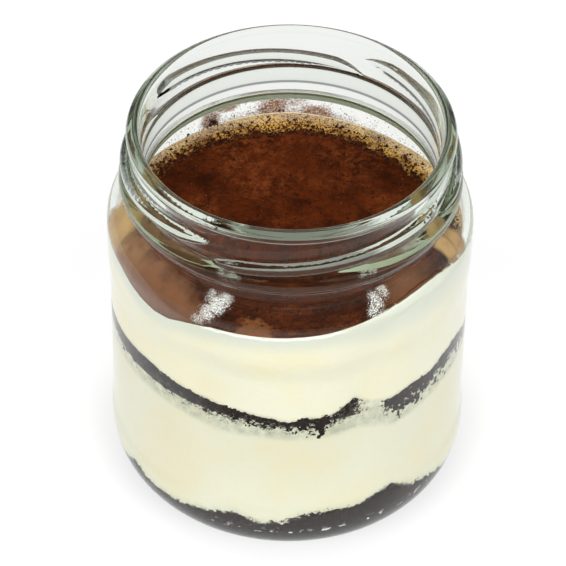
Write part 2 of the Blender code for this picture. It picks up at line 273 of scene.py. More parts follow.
def mark(tree, kind):
    """The number that set_mark gave to the piece's points."""
    made = tree.nodes.new("ShaderNodeAttribute")
    made.attribute_name = kind
    return made.outputs["Fac"]


def sums(tree, kind, first, second):
    """Two values added or multiplied, each a number or another node's output."""
    made = tree.nodes.new("ShaderNodeMath")
    made.operation = kind
    for socket, value in ((0, first), (1, second)):
        if isinstance(value, float):
            made.inputs[socket].default_value = value
        else:
            link_in(tree, made, socket, value)
    return made.outputs[0]


def relief(tree, shader, height, distance):
    """Fine bumps of this height in metres."""
    made = tree.nodes.new("ShaderNodeBump")
    made.inputs["Distance"].default_value = distance
    made.inputs["Strength"].default_value = 1.0
    link_in(tree, made, "Height", height)
    link_in(tree, shader, "Normal", made.outputs["Normal"])


def jar_glass():
    """Clear green-tinted glass, with the faint ripple of a mould, that lets lamp light through."""
    material, tree, shader = new_finish("jar_glass")
    shader.inputs["Base Color"].default_value = (1.0, 1.0, 1.0, 1.0)
    shader.inputs["Roughness"].default_value = 0.0
    shader.inputs["IOR"].default_value = GLASS_BENDS
    shader.inputs["Transmission Weight"].default_value = 1.0
    relief(tree, shader, clouds(tree, RIPPLE_SIZE, 2.0), RIPPLE_HEIGHT)
    output = tree.nodes["Material Output"]
    rays = tree.nodes.new("ShaderNodeLightPath")
    clear = tree.nodes.new("ShaderNodeBsdfTransparent")
    clear.inputs["Color"].default_value = LAMP_THROUGH_GLASS
    made = shader
    for kind in ("Is Diffuse Ray", "Is Shadow Ray"):
        split = tree.nodes.new("ShaderNodeMixShader")
        link_in(tree, split, 0, rays.outputs[kind])
        link_in(tree, split, 1, made.outputs[0])
        link_in(tree, split, 2, clear.outputs[0])
        made = split
    link_in(tree, output, "Surface", made.outputs[0])
    absorb = tree.nodes.new("ShaderNodeVolumeAbsorption")
    absorb.inputs["Color"].default_value = GLASS_TINT
    absorb.inputs["Density"].default_value = GLASS_DEPTH
    link_in(tree, output, "Volume", absorb.outputs[0])
    return material


def make_jar():
    near_seam = [at + off for at in SEAMS for off in (-0.4, -0.25, -0.12, 0.0, 0.12, 0.25, 0.4)]
    columns = np.array(sorted(set(np.arange(-180.0, 180.0, 1.25).tolist() + near_seam)))
    heel = HEEL_BAND_RADIUS - FOOT_OUTER
    foot = [(r, PUSH_UP * ease(1 - r / FOOT_INNER, 0.0, 0.5)) for r in np.linspace(0.002, FOOT_INNER, 14)]
    low = foot + [(FOOT_OUTER + heel * out, HEEL_HEIGHT * (1 + up)) for out, up in arc(0, 0, 1, -90, -4, 24)]
    side = steps((HEEL_HEIGHT, HEEL_BAND_EASE[0], 3), (*HEEL_BAND_EASE, 8),
                 (HEEL_BAND_EASE[1], BAND_EASE[0], 6), (*BAND_EASE, 10), (BAND_EASE[1], SHOULDER_START, 4),
                 (SHOULDER_START, BEAD_BELOW, 26), (BEAD_BELOW, LUGS_BELOW, 30),
                 (LUGS_BELOW, LUGS_ABOVE, 66), (LUGS_ABOVE, LIP_OUT_AT[1], 14))
    slope = math.degrees(LIP_TURN)
    top = arc(*LIP_OUT_AT, LIP_OUTSIDE, 4, slope, 14) + arc(*LIP_IN_AT, LIP_INSIDE, slope, 180, 24)
    bore = steps((LIP_IN_AT[1] - LIP_JOINS, BORE_BENDS, 12), (BORE_BENDS, SHOULDER_START, 34),
                 (SHOULDER_START, BAND_EASE[1], 4), (BAND_EASE[1], BAND_EASE[0], 8),
                 (BAND_EASE[0], INNER_HEEL_AT[1], 8))
    floor = arc(*INNER_HEEL_AT, INNER_HEEL, -5, -90, 16)
    floor += [(r, floor_height(r)) for r in (0.021, 0.014, 0.007, 0.002)]
    around = len(columns)
    rows = [[point] * around for point in low]
    rows += [[(outer_radius(angle, z), z) for angle in columns] for z in side]
    rows += [[point] * around for point in top]
    rows += [[(inner_radius(z), z)] * around for z in bore]
    rows += [[point] * around for point in floor]
    return surface("jar_body", rows, columns, jar_glass())


jar = make_jar()
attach(jar, "root")
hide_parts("jar")


# The levels: the height at which each layer meets the glass, in turn round the jar. The crumb was
# spooned in by hand, so its edges rise and dip, and the top lies highest at the front's right.
TURNS_OF_BASE = (
    (-180, 0.0112), (-145, 0.0098), (-100, 0.0048), (-84, 0.0048), (-75, 0.0060), (-66, 0.0076),
    (-59, 0.0089), (-50, 0.0076), (-37, 0.0078), (-29, 0.0087), (-23, 0.0094), (-17, 0.0105),
    (-8, 0.0088), (0, 0.0097), (5, 0.0110), (15, 0.0116), (23, 0.0114), (31, 0.0126), (37, 0.0136),
    (41, 0.0118), (46, 0.0102), (56, 0.0086), (68, 0.0062), (80, 0.0048), (100, 0.0048), (140, 0.0100),
    (180, 0.0112),
)
TURNS_OF_MIDDLE_TOP = (
    (-180, 0.0398), (-140, 0.0388), (-110, 0.0402), (-73, 0.0397), (-59, 0.0403), (-50, 0.0406),
    (-42, 0.0399), (-27, 0.0392), (-20, 0.0386), (-12, 0.0381), (-4, 0.0373), (1, 0.0366), (6, 0.0378),
    (10, 0.0374), (15, 0.0380), (19, 0.0399), (22, 0.0414), (25, 0.0402), (28, 0.0386), (36, 0.0376),
    (44, 0.0385), (53, 0.0381), (60, 0.0393), (69, 0.0393), (80, 0.0372), (115, 0.0385), (150, 0.0378),
    (180, 0.0398),
)
TURNS_OF_MIDDLE_DARK = (
    (-180, 0.0370), (-140, 0.0362), (-100, 0.0368), (-66, 0.0371), (-45, 0.0371), (-33, 0.0360),
    (-18, 0.0363), (-2, 0.0352), (4, 0.0337), (8, 0.0325), (11, 0.0321), (14, 0.0352), (20, 0.0376),
    (24, 0.0380), (31, 0.0374), (34, 0.0340), (38, 0.0314), (44, 0.0320), (51, 0.0326), (60, 0.0333),
    (69, 0.0340), (81, 0.0320), (120, 0.0345), (180, 0.0370),
)
TURNS_OF_HALO = (
    (-180, 0.0330), (-100, 0.0335), (-62, 0.0336), (-37, 0.0334), (-24, 0.0322), (-12, 0.0325),
    (1, 0.0321), (14, 0.0324), (24, 0.0332), (38, 0.0304), (60, 0.0320), (100, 0.0322), (180, 0.0330),
)
TURNS_OF_TOP = (
    (-180, 0.0567), (-165, 0.0564), (-140, 0.0558), (-115, 0.0565), (-90, 0.0576), (-80, 0.0579),
    (-72, 0.0580), (-66, 0.0578), (-60, 0.0567), (-53, 0.0558), (-47, 0.0554), (-41, 0.0558),
    (-36, 0.0569), (-31, 0.0577), (-25, 0.0584), (-15, 0.0586), (0, 0.0588), (10, 0.0591), (16, 0.0594),
    (26, 0.0601), (36, 0.0608), (43, 0.0611), (50, 0.0612), (56, 0.0610), (62, 0.0604), (70, 0.0595),
    (80, 0.0586), (90, 0.0580), (115, 0.0564), (140, 0.0556), (165, 0.0561), (180, 0.0567),
)
INTO_GLASS = 0.00006


def level(turns, angle):
    """The value of one of these tables at an angle."""
    angles = [turn for turn, height in turns]
    heights = [height for turn, height in turns]
    return float(np.interp(turn_between(angle, 0.0), angles, heights))


def at_turn(angle, r, z):
    """The place at this angle, distance from the axis and height."""
    turn = math.radians(angle)
    return Vector((r * math.sin(turn), -r * math.cos(turn), z))


def grain(angle, r, z, size, octaves=3, seed=0.0):
    """Repeatable noise of about -1 to 1, with swells of about this size in metres."""
    return noise.fractal(at_turn(angle, r, z) / size + Vector((seed, seed, seed)), 0.9, 2.0, octaves)


def wall_grain(angle, z, size, octaves=3, seed=0.0):
    """The same, read at the glass."""
    return grain(angle, PANEL_RADIUS, z, size, octaves, seed)


# The creams: mascarpone cream, pale ivory, pressed flat against the glass; the lower one is painted a
# little darker, as painted shade against the extra light it gets from the glowing table. It greys where
# it meets damp crumb, has a painted greyish-white reflection band and a painted white gleam under its
# top edge at the glass, and its bare top has soaked up coffee.
CREAM, CREAM_WARM = (0.92, 0.86, 0.72, 1.0), (0.93, 0.83, 0.61, 1.0)
# Painted shade: the lower cream's colours are the upper cream's, evenly darkened.
SHADED_LOWER_CREAM, SHADED_LOWER_WARM = (0.82, 0.77, 0.64, 1.0), (0.83, 0.74, 0.55, 1.0)
# Painted reflection: the greyish-white colour of the band just under the cream's top edge.
CREAM_PAINTED_SHEEN = (0.76, 0.755, 0.68, 1.0)
CREAM_GREY = (0.50, 0.50, 0.40, 1.0)
# Painted highlight: the colour of the white gleam along the cream's top edge at the glass.
PAINTED_GLEAM_WHITE = (0.98, 0.98, 0.96, 1.0)
COFFEE_TAN = (0.60, 0.330, 0.070, 1.0)
COFFEE_DARK = (0.24, 0.095, 0.022, 1.0)
SPECK = (0.018, 0.009, 0.006, 1.0)
CREAM_ROUGH, CREAM_GLOSS, CREAM_DIMPLE, CREAM_DIMPLE_DEEP = 0.40, 0.40, 0.0009, 0.00010
TONE_SIZE, MOTTLE_SIZE, SPECK_SIZE, COFFEE_SIZE, DUST_SIZE = 0.016, 0.0016, 0.0010, 0.0060, 0.00050
LOWER_DIPS, LOWER_LAP, LOWER_RISES_TO, LOWER_LID = 0.0008, 0.0010, 0.0377, 0.0368
HALO_EASE, BASE_STAIN, STAIN_REACH, STAIN_WAVER = (0.0010, 0.0012), 0.75, 0.0022, 0.004
BASE_CRUMBS, MIDDLE_STAIN, MIDDLE_CRUMBS = (0.0010, 0.0018), (0.0004, 0.0012), 0.0010
UPPER_UNDER, UPPER_STARTS, CREAM_MIDDLE = 0.0365, 0.0366, 0.0570
SPOON_MARKS, SPOON_MARK_SIZE = 0.00030, 0.006
# How deep the painted reflection band reaches below the top edge, and where it deepens.
SHEEN_REACH, SHEEN_TURNS = 0.0030, (10.0, 45.0)
SOAKED_TURNS, SOAKED_DEEP = (78.0, 92.0), 0.0006
MIDDLE_THICK = ((-180, 1.0), (12, 1.0), (22, 0.95), (25, 0.35), (31, 0.30), (34, 0.95), (180, 1.0))
BARE_RING = (
    (-180, 0.0068), (-165, 0.0070), (-150, 0.0060), (-125, 0.0048), (-105, 0.0048), (-90, 0.0042),
    (-72, 0.0016), (-62, 0.0), (56, 0.0), (66, 0.0020), (75, 0.0030), (110, 0.0050), (138, 0.0064),
    (160, 0.0062), (180, 0.0068),
)
# Where the painted highlight gleam lies, how far across the front it runs, and how it wavers.
PAINTED_GLEAM_LINE, PAINTED_GLEAM_ENDS, PAINTED_GLEAM_WAVES = (0.00030, 0.00026), (-30.0, 22.0), (0.00008, 0.00016)
CLEAN_EDGE, CLEAN_TURNS = 0.0005, (120.0, 165.0)
TOP_INSETS = (
    0.0002, 0.0005, 0.0009, 0.0014, 0.0020, 0.0028, 0.0036, 0.0046, 0.0058, 0.0072, 0.0090,
)


def cream_finish(name, pale, yellow):
    """Marks: the grey-and-sheen mark is -1 for grey from crumb and 1 for a painted greyish-white reflection
    band.

    coffee is 1 for tan and 2 for dark; the painted white gleam and crumbs run from 0 to 1.
    """
    material, tree, shader = new_finish(name)
    shade, coffee, wet, crumbs = (mark(tree, kind) for kind in ("shade", "coffee", "wet", "crumbs"))
    warm = stretch(tree, clouds(tree, TONE_SIZE, 3.0, 0.6), 0.42, 0.68)
    colour = blend(tree, warm, pale, yellow)
    # Painted reflection: greyish-white where the grey-and-sheen mark is above 0.
    colour = blend(tree, stretch(tree, shade, 0.0, 1.0), colour, CREAM_PAINTED_SHEEN)
    mottle = stretch(tree, clouds(tree, MOTTLE_SIZE, 4.0, 0.65), 0.25, 0.62)
    grey = sums(tree, "MULTIPLY", stretch(tree, shade, 0.0, -1.0), mottle)
    colour = blend(tree, grey, colour, CREAM_GREY)
    strewn = sums(tree, "ADD", clouds(tree, SPECK_SIZE, 5.0, 0.85), sums(tree, "MULTIPLY", crumbs, 0.36))
    strewn = sums(tree, "MULTIPLY", stretch(tree, strewn, 0.69, 0.74), stretch(tree, crumbs, 0.0, 0.15))
    colour = blend(tree, strewn, colour, SPECK)
    soaked = stretch(tree, clouds(tree, COFFEE_SIZE, 3.0, 0.6), 0.45, 0.70)
    tan = blend(tree, soaked, COFFEE_TAN, COFFEE_DARK)
    tan = blend(tree, stretch(tree, coffee, 1.0, 2.0), tan, COFFEE_DARK)
    colour = blend(tree, stretch(tree, coffee, 0.0, 1.0), colour, tan)
    dust = stretch(tree, clouds(tree, DUST_SIZE, 3.0, 0.75), 0.54, 0.61)
    colour = blend(tree, sums(tree, "MULTIPLY", dust, stretch(tree, coffee, 0.3, 1.0)), colour, SPECK)
    # Painted highlight: the white gleam along the cream's top edge at the glass.
    colour = blend(tree, wet, colour, PAINTED_GLEAM_WHITE)
    link_in(tree, shader, "Base Color", colour)
    shader.inputs["Roughness"].default_value = CREAM_ROUGH
    shader.inputs["Specular IOR Level"].default_value = CREAM_GLOSS
    relief(tree, shader, clouds(tree, CREAM_DIMPLE, 3.0), CREAM_DIMPLE_DEEP)
    return material


def bare_ring(angle):
    """How wide the cream is bare beside the cocoa."""
    return level(BARE_RING, angle)


def lower_marks(angle, z, base):
    """The grey-from-crumb mark and the crumbs mark of the lower cream where it touches the glass."""
    halo = level(TURNS_OF_HALO, angle)
    near_middle = ease(z, halo - HALO_EASE[0], halo + HALO_EASE[1])
    near_base = BASE_STAIN * (1 - ease(z, base - 0.0002, base + STAIN_REACH))
    shade = -max(near_middle, near_base) * (1 + 0.30 * wall_grain(angle, z, STAIN_WAVER, 3, 5.0))
    climb = min(max((z - halo) / (level(TURNS_OF_MIDDLE_TOP, angle) - halo), 0.0), 1.0)
    low = 1 - ease(z, base - BASE_CRUMBS[0], base + BASE_CRUMBS[1])
    crumbs = max(climb * level(MIDDLE_THICK, angle), low)
    return shade, crumbs


def make_cream_lower():
    columns = np.arange(-180.0, 180.0, 1.0)
    none = [0.0] * len(columns)
    rows, shades, strewn = [], [], []

    def add(row, shade=none, crumbs=none):
        for kept, values in ((rows, row), (shades, shade), (strewn, crumbs)):
            kept.append(values)

    for share in (0.05, 0.5, 0.9):
        add([(share * PANEL_INSIDE, level(TURNS_OF_BASE, angle) - LOWER_DIPS) for angle in columns])
    for share in np.linspace(0.0, 1.0, 80):
        row, found = [], []
        for angle in columns:
            base = level(TURNS_OF_BASE, angle)
            z = base - LOWER_LAP + (LOWER_RISES_TO - base) * share
            row.append((inner_radius(z) + INTO_GLASS, z))
            found.append(lower_marks(angle, z, base))
        add(row, *zip(*found))
    for share in (0.97, 0.5, 0.05):
        add([(share * PANEL_INSIDE, LOWER_LID)] * len(columns))
    nothing = np.zeros((len(rows), len(columns)))
    # Painted shade: a darker copy of the cream, against the extra light the lower cream gets from the
    # glowing table.
    finish = cream_finish("lower_cream", SHADED_LOWER_CREAM, SHADED_LOWER_WARM)
    return surface("lower_cream", rows, columns, finish,
                   shade=shades, coffee=nothing, wet=nothing, crumbs=strewn)


def cream_top(r, angle):
    """The top of the upper cream: nearly flat, then it climbs or dips to where it meets the glass."""
    edge = level(TURNS_OF_TOP, angle)
    share = r / inner_radius(edge)
    plain = CREAM_MIDDLE + (edge - CREAM_MIDDLE) * share ** 4
    marks = SPOON_MARKS * grain(angle, r, 0.0, SPOON_MARK_SIZE, 3, 2.0)
    return plain + marks * (1 - ease(share, 0.86, 1.0))


def side_marks(angle, z, edge):
    """The marks of the upper cream where it touches the glass: grey from crumb and a painted greyish-white
    reflection band, coffee, a painted white gleam, and crumbs.
    """
    crumb = level(TURNS_OF_MIDDLE_TOP, angle)
    # Painted reflection: a greyish-white band just under the top edge, twice as deep on the right.
    thin = SHEEN_REACH * (1 + ease(angle, *SHEEN_TURNS))
    white = ease(z, edge - 1.6 * thin, edge - 0.3 * thin)
    shade = white - 0.85 * (1 - ease(z, crumb - MIDDLE_STAIN[0], crumb + MIDDLE_STAIN[1]))
    coffee = 0.9 * ease(abs(angle), *SOAKED_TURNS) * ease(z, edge - SOAKED_DEEP, edge)
    # Painted highlight: a wavering white gleam just under the top edge across the front.
    slow, quick = PAINTED_GLEAM_WAVES
    wander = slow * math.sin(angle * 0.9) + quick * wall_grain(angle, 0.0, 0.0016, 2, 13.0)
    centre, half = PAINTED_GLEAM_LINE
    along = ease(angle, PAINTED_GLEAM_ENDS[0], PAINTED_GLEAM_ENDS[0] + 5) * ease(-angle, -PAINTED_GLEAM_ENDS[1], -PAINTED_GLEAM_ENDS[1] + 9)
    gleam = 1 - ease(abs(edge - centre - z + wander), 0.3 * half, 1.6 * half)
    crumbs = 1 - ease(z, crumb - MIDDLE_CRUMBS, crumb + MIDDLE_CRUMBS)
    crumbs *= level(MIDDLE_THICK, angle)
    return shade, coffee, gleam * along, crumbs


def make_cream_upper():
    columns = np.arange(-180.0, 180.0, 0.8)
    none, full = [0.0] * len(columns), [1.0] * len(columns)
    rows, shades, coffees, wets, strewn = [], [], [], [], []

    def add(row, shade, coffee, wet, crumbs=none):
        for kept, values in ((rows, row), (shades, shade), (coffees, coffee), (wets, wet), (strewn, crumbs)):
            kept.append(values)

    for share in (0.05, 0.5, 0.97):
        add([(share * PANEL_INSIDE, UPPER_UNDER)] * len(columns), none, none, none)
    shares = (np.linspace(0.0, 0.25, 26), np.linspace(0.27, 0.86, 24), np.linspace(0.865, 1.0, 34))
    for share in np.concatenate(shares):
        row, found = [], []
        for angle in columns:
            edge = level(TURNS_OF_TOP, angle)
            z = UPPER_STARTS + (edge - UPPER_STARTS) * share
            row.append((inner_radius(z) + INTO_GLASS, z))
            found.append(side_marks(angle, z, edge))
        add(row, *zip(*found))
    for inset in TOP_INSETS:
        row, coffee = [], []
        for angle in columns:
            r = inner_radius(level(TURNS_OF_TOP, angle)) - inset
            row.append((r, cream_top(r, angle)))
            clean = CLEAN_EDGE * ease(abs(angle), *CLEAN_TURNS)
            soaked = 0.75 + 0.8 * ease(inset / max(bare_ring(angle), 0.001), 0.2, 1.1)
            coffee.append(soaked * (1.0 if clean < 0.0001 else ease(inset, 0.3 * clean, clean)))
        add(row, none, coffee, none)
    for r in (0.018, 0.010, 0.003):
        add([(r, cream_top(r, angle)) for angle in columns], none, full, none)
    finish = cream_finish("upper_cream", CREAM, CREAM_WARM)
    return surface("upper_cream", rows, columns, finish,
                   shade=shades, coffee=coffees, wet=wets, crumbs=strewn)


lower_cream = make_cream_lower()
upper_cream = make_cream_upper()
for piece, node in ((lower_cream, "cream_lower"), (upper_cream, "cream_upper")):
    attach(piece, "root")
    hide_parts(node)


# The crumb layers: damp chocolate crumb, near black, pressed against the glass in ragged patches.
# Fine crumb has strayed into the cream under the middle layer, and the bottom layer holds air.
CRUMB, CRUMB_BROWN = (0.007, 0.004, 0.0034, 1.0), (0.048, 0.018, 0.011, 1.0)
CRUMB_ROUGH, CRUMB_GLOSS = 0.9, 0.04
CRUMB_PATCHES, CRUMB_GRIT, CRUMB_GRIT_HIGH = 0.0007, 0.0005, 0.00025
CRUMB_PROUD, CRUMB_SUNK, CRUMB_RISE = 0.00010, 0.00050, 0.0003
MIDDLE_LUMPS, BASE_LUMPS = (0.0020, 0.0007), (0.0016, 0.0006)
MIDDLE_RADIUS, MIDDLE_SPAN, MIDDLE_UNDER, MIDDLE_OVER = 0.0322, (0.0298, 0.0428), 0.0330, 0.0395
BASE_RADIUS, BASE_TOP, BASE_OVER, BASE_UNDER = 0.0310, 0.0160, 0.0086, 0.0001
AIR_SIZE, AIR_STARTS, AIR_EDGE = 0.0018, 0.30, 4.0


def crumb_finish():
    material, tree, shader = new_finish("chocolate_crumb")
    patches = stretch(tree, clouds(tree, CRUMB_PATCHES, 4.0, 0.8), 0.50, 0.68)
    link_in(tree, shader, "Base Color", blend(tree, patches, CRUMB, CRUMB_BROWN))
    shader.inputs["Roughness"].default_value = CRUMB_ROUGH
    shader.inputs["Specular IOR Level"].default_value = CRUMB_GLOSS
    relief(tree, shader, clouds(tree, CRUMB_GRIT, 4.0, 0.7), CRUMB_GRIT_HIGH)
    return material


CRUMB_FINISH = crumb_finish()


def ragged(angle, z, sizes, seed):
    """How far lumps and single crumbs of these sizes jut out, from about -1 to 1."""
    lump, crumb = sizes
    return 0.70 * (wall_grain(angle, z, lump, 3, seed) + wall_grain(angle, z, crumb, 2, seed + 2.0))


def beyond_wall(cover):
    """How far crumb reaches into the glass, or keeps off it where its cover is well below 0."""
    return INTO_GLASS + max(-CRUMB_SUNK, min(CRUMB_PROUD, CRUMB_RISE * cover))


def middle_cover(angle, z):
    """Above 0 where crumb touches the glass."""
    top = level(TURNS_OF_MIDDLE_TOP, angle)
    dark = level(TURNS_OF_MIDDLE_DARK, angle)
    halo = level(TURNS_OF_HALO, angle)
    rough = ragged(angle, z, MIDDLE_LUMPS, 1.0) - 1.2 * (1 - level(MIDDLE_THICK, angle))
    if z > top:
        return -(z - top) / 0.0010 + rough - 0.10
    if z > dark:
        return 0.55 - 0.75 * (top - z) / max(top - dark, 0.0006) + rough
    return -0.20 - 1.10 * min((dark - z) / max(dark - halo, 0.0008), 2.0) + 1.1 * rough


def make_crumb_middle():
    columns = np.arange(-180.0, 180.0, 0.36)
    rows = [[(share * MIDDLE_RADIUS, MIDDLE_UNDER)] * len(columns) for share in (0.05, 0.5, 1.0)]
    for z in np.linspace(*MIDDLE_SPAN, 68):
        rows.append([(inner_radius(z) + beyond_wall(middle_cover(angle, z)), z) for angle in columns])
    rows += [[(share * MIDDLE_RADIUS, MIDDLE_OVER)] * len(columns) for share in (1.0, 0.5, 0.05)]
    return surface("middle_crumb", rows, columns, CRUMB_FINISH)


def base_cover(angle, z):
    """Above 0 where crumb touches the glass."""
    top = level(TURNS_OF_BASE, angle)
    return min(1.0, (top - z) / 0.0012) + 1.2 * ragged(angle, z, BASE_LUMPS, 7.0) - 0.1


def make_crumb_base():
    columns = np.arange(-180.0, 180.0, 0.4)
    heel_r, heel_z = INNER_HEEL_AT
    rows = [[(r, floor_height(r) + BASE_UNDER)] * len(columns) for r in (0.002, 0.010, 0.018, 0.024)]
    for turn in np.radians(np.linspace(-90, -3, 26)):
        row = []
        z = heel_z + INNER_HEEL * math.sin(turn)
        for angle in columns:
            air = wall_grain(angle, 1.6 * z, AIR_SIZE, 3, 11.0) - AIR_STARTS
            reach = INNER_HEEL + beyond_wall(min(base_cover(angle, z), -AIR_EDGE * air))
            row.append((heel_r + reach * math.cos(turn), heel_z + reach * math.sin(turn)))
        rows.append(row)
    for z in np.linspace(heel_z, BASE_TOP, 44):
        rows.append([(inner_radius(z) + beyond_wall(base_cover(angle, z)), z) for angle in columns])
    rows += [[(share * BASE_RADIUS, BASE_OVER)] * len(columns) for share in (1.0, 0.5, 0.05)]
    return surface("base_crumb", rows, columns, CRUMB_FINISH)


middle_crumb = make_crumb_middle()
base_crumb = make_crumb_base()
for piece, node in ((middle_crumb, "crumb_middle"), (base_crumb, "crumb_base")):
    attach(piece, "root")
    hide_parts(node)


# The cocoa: a sieved dusting of red-brown powder, thick enough to hide the cream, clumped a little
# where it got damp. Its edge breaks up into islands and single grains on the bare ring of cream.
COCOA = (0.075, 0.0142, 0.0030, 1.0)
COCOA_DARK = (0.022, 0.0050, 0.0020, 1.0)
COCOA_LIGHT = (0.160, 0.039, 0.0100, 1.0)
COCOA_ROUGH, COCOA_GLOSS = 0.95, 0.05
DAMP_SIZE, DRY_SIZE, LIGHT_SIZE, DARK_SPECK_SIZE = 0.0095, 0.0140, 0.0019, 0.0010
COCOA_GRIT, COCOA_GRIT_HIGH = 0.00055, 0.00030
COCOA_THICK, COCOA_HIDES, COCOA_FRAYS, COCOA_LAP = 0.00050, 0.00020, 0.0020, 0.0006
ISLAND_SIZE, ISLET_SIZE, SWELL_SIZE, CLUMP_SIZE = 0.0026, 0.0008, 0.0030, 0.0009
SWELL_HIGH, CLUMP_HIGH = 0.00016, 0.00010
PATCH_TURN, PATCH_HALF, PATCH_IN, COCOA_PATCH = -11.5, 6.5, 0.0045, (0.26, 0.090, 0.032, 1.0)


def cocoa_finish():
    material, tree, shader = new_finish("cocoa_powder")
    damp = stretch(tree, clouds(tree, DAMP_SIZE, 6.0, 0.72), 0.44, 0.60)
    colour = blend(tree, sums(tree, "MULTIPLY", damp, 0.85), COCOA, COCOA_DARK)
    dry = stretch(tree, clouds(tree, DRY_SIZE, 2.0, 0.5), 0.40, 0.62)
    light = sums(tree, "MULTIPLY", stretch(tree, clouds(tree, LIGHT_SIZE, 5.0, 0.8), 0.44, 0.66), dry)
    colour = blend(tree, light, colour, COCOA_LIGHT)
    # Dark specks in the powder.
    dark_specks = stretch(tree, clouds(tree, DARK_SPECK_SIZE, 4.0, 0.75), 0.56, 0.66)
    colour = blend(tree, dark_specks, colour, COCOA_DARK)
    colour = blend(tree, mark(tree, "patch"), colour, COCOA_PATCH)
    link_in(tree, shader, "Base Color", colour)
    shader.inputs["Roughness"].default_value = COCOA_ROUGH
    shader.inputs["Specular IOR Level"].default_value = COCOA_GLOSS
    relief(tree, shader, clouds(tree, COCOA_GRIT, 4.0, 0.75), COCOA_GRIT_HIGH)
    return material


def cocoa_cover(r, angle):
    """Above 0 where powder hides the cream."""
    bare = bare_ring(angle)
    if bare < 0.0003:
        return 1.0
    edge = inner_radius(level(TURNS_OF_TOP, angle)) - bare
    islands = 0.80 * grain(angle, r, 0.0, ISLAND_SIZE, 3, 4.0)
    islands += 0.60 * grain(angle, r, 0.0, ISLET_SIZE, 2, 14.0)
    return (edge - r) / COCOA_FRAYS + 0.35 + islands


def cocoa_top(r, angle):
    """The top of the powder, or just under the cream's top where there is none."""
    swell = SWELL_HIGH * grain(angle, r, 0.0, SWELL_SIZE, 3, 6.0)
    swell += CLUMP_HIGH * grain(angle, r, 0.0, CLUMP_SIZE, 3, 8.0)
    cover = min(max(cocoa_cover(r, angle) * 2.5, -1.0), 1.0)
    over = COCOA_THICK * cover + swell if cover > 0 else COCOA_HIDES * cover
    return cream_top(r, angle) + over


def make_cocoa():
    columns = np.arange(-180.0, 180.0, 0.5)
    walls = [inner_radius(level(TURNS_OF_TOP, angle)) + INTO_GLASS for angle in columns]
    rows = [[(share * wall, cream_top(share * wall, angle) - COCOA_LAP)
             for wall, angle in zip(walls, columns)] for share in (0.05, 0.5, 0.99)]
    patches = [[0.0] * len(columns)] * len(rows)
    for share in np.concatenate([np.linspace(1.0, 0.70, 56), np.linspace(0.69, 0.03, 56)]):
        row, patch = [], []
        for wall, angle in zip(walls, columns):
            r = share * wall
            z = cocoa_top(r, angle)
            row.append((min(r, inner_radius(z) + INTO_GLASS), z))
            off = math.hypot((angle - PATCH_TURN) / PATCH_HALF, (wall - r) / PATCH_IN)
            patch.append(0.8 * (1 - ease(off + 0.4 * wall_grain(angle, r, 0.002), 0.75, 1.05)))
        rows.append(row)
        patches.append(patch)
    return surface("cocoa_dusting", rows, columns, cocoa_finish(), patch=patches)


cocoa = make_cocoa()
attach(cocoa, "root")
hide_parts("cocoa_top")


# The grains: loose cocoa and crumb. Most lie strewn over the bare ring, fewest at the back on the
# right, some make the dusting uneven, and some stuck to the glass above when the jar was filled.
GRAIN_SEED, FULL_TURN = 5, 6.3
GRAIN_DARK, GRAIN_LIGHT = (0.022, 0.007, 0.004, 1.0), (0.120, 0.038, 0.014, 1.0)
RING_GRAINS, RING_CLODS, TOP_GRAINS, GLASS_GRAINS = 9600, 800, 1500, 900
RING_RADIUS, RING_REACH, RING_SPREAD, RING_LEAST = (0.00006, 0.00020), 1.15, (1.2, 1.25), 0.0006
SPARSE_SHARE, SPARSE_FROM, SPARSE_TO = 0.45, (90.0, 112.0), (-150.0, -130.0)
CLOD_RADIUS, CLOD_GROWS, CLOD_REACH, CLOD_SPREAD = 0.00018, 0.00032, 1.2, (3.0, 1.6)
TOP_RADIUS, TOP_GROWS, TOP_REACH, TOP_MARGIN = 0.00009, 0.00022, 0.0315, 0.0006
GLASS_RADIUS, GLASS_GROWS, GLASS_CLIMB, GLASS_LIMIT = 0.00004, 0.00012, 0.0016, 0.0620
GLASS_TURNS, GLASS_THICKEST = (110.0, 250.0), (196.0, 14.0)
CLOD_TURN, CLODS_ON_GLASS = 1400.0, (
    (-152.0, 0.0571, 0.0007, 26), (-150.5, 0.0566, 0.0005, 16), (-142.0, 0.0566, 0.0004, 12),
    (-141.0, 0.0556, 0.0003, 8), (-176.0, 0.0570, 0.0004, 14), (161.0, 0.0577, 0.0003, 6),
    (126.0, 0.0566, 0.0003, 6), (150.0, 0.0570, 0.0002, 6),
)


def grain_finish():
    material, tree, shader = new_finish("loose_grains")
    tone = stretch(tree, clouds(tree, 0.0008, 2.0), 0.46, 0.66)
    link_in(tree, shader, "Base Color", blend(tree, tone, GRAIN_DARK, GRAIN_LIGHT))
    shader.inputs["Roughness"].default_value = 0.9
    shader.inputs["Specular IOR Level"].default_value = 0.1
    return material


GRAIN_FINISH = grain_finish()


def lumps(name, spots):
    """One mesh of small knobbly lumps: each spot is a place and a radius."""
    draw = random.Random(GRAIN_SEED)
    corners = [(1, 0, 0), (-1, 0, 0), (0, 1, 0), (0, -1, 0), (0, 0, 1), (0, 0, -1)]
    sides = [(0, 2, 4), (2, 1, 4), (1, 3, 4), (3, 0, 4), (2, 0, 5), (1, 2, 5), (3, 1, 5), (0, 3, 5)]
    points, faces = [], []
    for spot, radius in spots:
        first = len(points)
        turn = Euler([draw.uniform(0, FULL_TURN) for axis in "xyz"]).to_matrix()
        for corner in corners:
            reach = radius * draw.uniform(0.65, 1.25)
            points.append(tuple(spot + turn @ Vector(corner) * reach))
        faces += [[first + index for index in side] for side in sides]
    made = add_mesh(name, points, faces, GRAIN_FINISH)
    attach(made, "root")


def covered(r, angle):
    """The top of whatever lies here, cream or powder."""
    return max(cream_top(r, angle), cocoa_top(r, angle))


